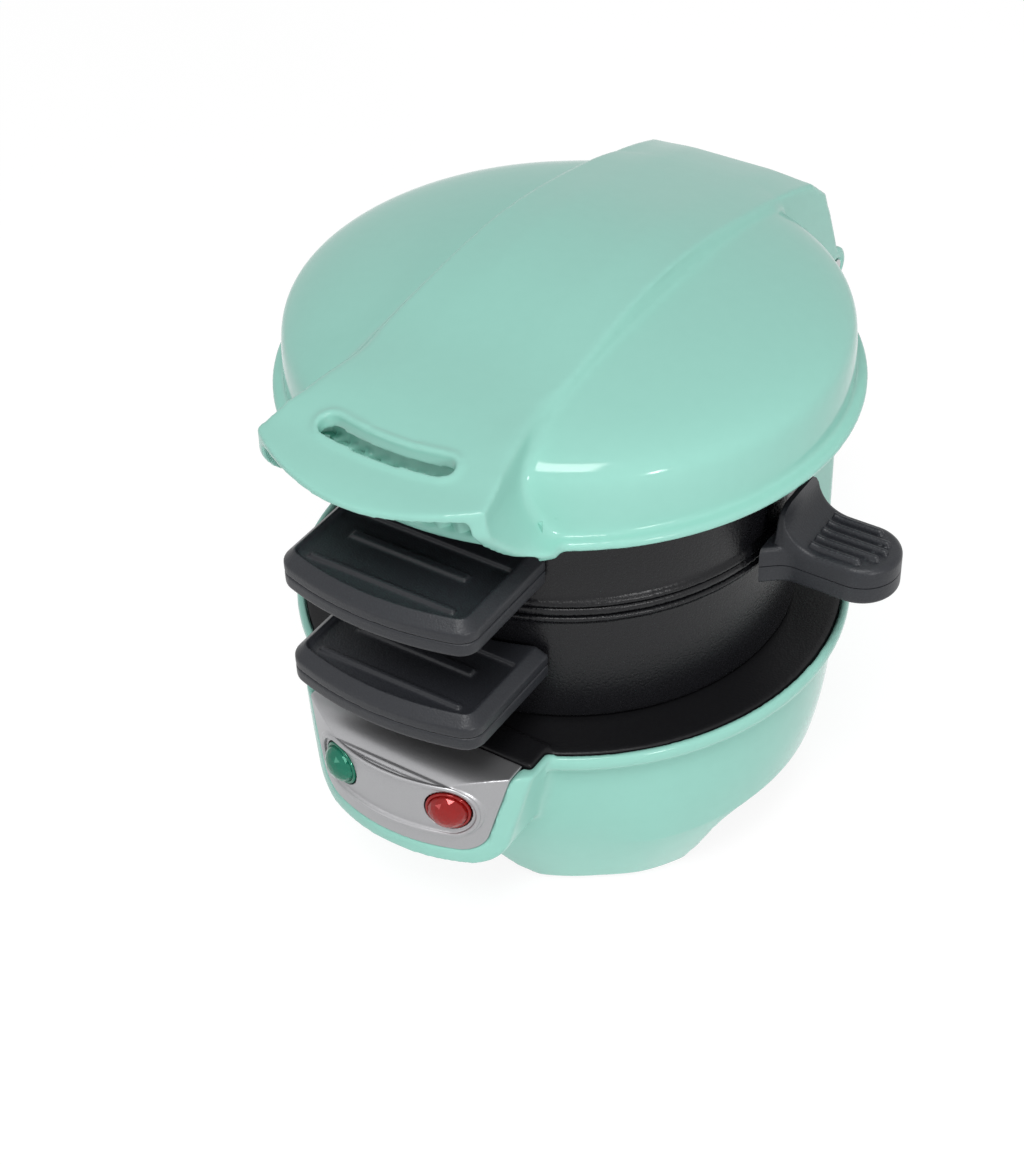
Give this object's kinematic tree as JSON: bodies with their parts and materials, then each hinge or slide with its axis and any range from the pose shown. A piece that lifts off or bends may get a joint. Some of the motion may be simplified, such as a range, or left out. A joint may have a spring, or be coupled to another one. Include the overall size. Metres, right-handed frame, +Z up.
{
  "type": "breakfast sandwich maker",
  "caption": "Round countertop sandwich maker with a domed hinged lid, two stacked ring molds with front handles and a swivelling egg plate between heated plates.",
  "frame": {"origin": "middle of the whole part's footprint, on the surface that it stands on", "axes": "+Z up; -Y to the front, where the control panel, the lid's lip and the ring handles are; +X to the egg plate's handle"},
  "size_m": [0.151, 0.1906, 0.1473],
  "materials": {
    "mint": "glossy",
    "black_plastic": "satin",
    "handle_plastic": "fine grain",
    "non_stick": "dark non-stick coating",
    "silver_panel": "satin silver",
    "green_lens": "clear green",
    "red_lens": "clear red",
    "lamp_glass": "clear",
    "steel": "plated",
    "reflector_metal": "bright",
    "rubber": "matte",
    "inner_plastic": "matte"
  },
  "bodies": {
    "base": {"base_housing": "mint", "control_panel": "silver_panel", "preheat_lens": "green_lens", "power_lens": "red_lens", "preheat_lamp": "lamp_glass", "power_lamp": "lamp_glass", "lamp_holder": "inner_plastic", "base_skirt": "black_plastic", "lower_heating_plate": "non_stick", "lower_heater": "steel", "lower_reflector": "reflector_metal", "lower_plate_screws": "steel", "skirt_screws": "steel", "thermostat": "steel", "lower_thermal_fuse": "inner_plastic", "terminal_block": "inner_plastic", "supply_leads": "rubber", "cord_inlet_bush": "rubber", "bottom_cover": "black_plastic", "bottom_cover_screws": "steel", "front_left_foot": "rubber", "front_right_foot": "rubber", "rear_left_foot": "rubber", "rear_right_foot": "rubber", "heel_left_foot": "rubber", "heel_right_foot": "rubber", "hinge_tower": "black_plastic", "hinge_tower_screws": "steel", "lid_hinge_pin": "steel", "ring_hinge_pin": "steel"},
    "lower_ring_body": {"lower_ring": "non_stick", "lower_handle_top": "handle_plastic", "lower_handle_bottom": "handle_plastic", "lower_handle_screws": "steel"},
    "upper_ring_body": {"upper_ring": "non_stick", "upper_handle_top": "handle_plastic", "upper_handle_bottom": "handle_plastic", "upper_handle_screws": "steel", "egg_plate_pivot": "steel"},
    "egg_plate_body": {"egg_plate": "non_stick", "egg_handle_top": "handle_plastic", "egg_handle_bottom": "handle_plastic", "egg_handle_screws": "steel"},
    "lid_body": {"lid_cover": "mint", "lid_liner": "black_plastic", "upper_heating_plate": "non_stick", "upper_heater": "steel", "upper_reflector": "reflector_metal", "upper_thermal_fuse": "inner_plastic", "upper_plate_screws": "steel", "lid_screws": "steel"}
  },
  "joints": [
    {"name": "lid_hinge", "type": "hinge", "parent": "base", "child": "lid_body", "pos_m": [0, 0.08235, 0.1], "axis": [-1, 0, 0], "range_deg": [0, 100]},
    {"name": "lower_ring_hinge", "type": "hinge", "parent": "base", "child": "lower_ring_body", "pos_m": [0, 0.06235, 0.08935], "axis": [-1, 0, 0], "range_deg": [0, 20]},
    {"name": "upper_ring_hinge", "type": "hinge", "parent": "lower_ring_body", "child": "upper_ring_body", "pos_m": [0, 0.06235, 0.08935], "axis": [-1, 0, 0], "range_deg": [0, 40]},
    {"name": "egg_plate_swivel", "type": "hinge", "parent": "upper_ring_body", "child": "egg_plate_body", "pos_m": [0.03096, 0.03708, 0.08935], "axis": [0, 0, 1], "range_deg": [0, 110]}
  ],
  "couplings": [
    {"joint": "lower_ring_hinge", "follows": "lid_hinge", "ratio": 0.2},
    {"joint": "upper_ring_hinge", "follows": "lid_hinge", "ratio": 0.4}
  ]
}
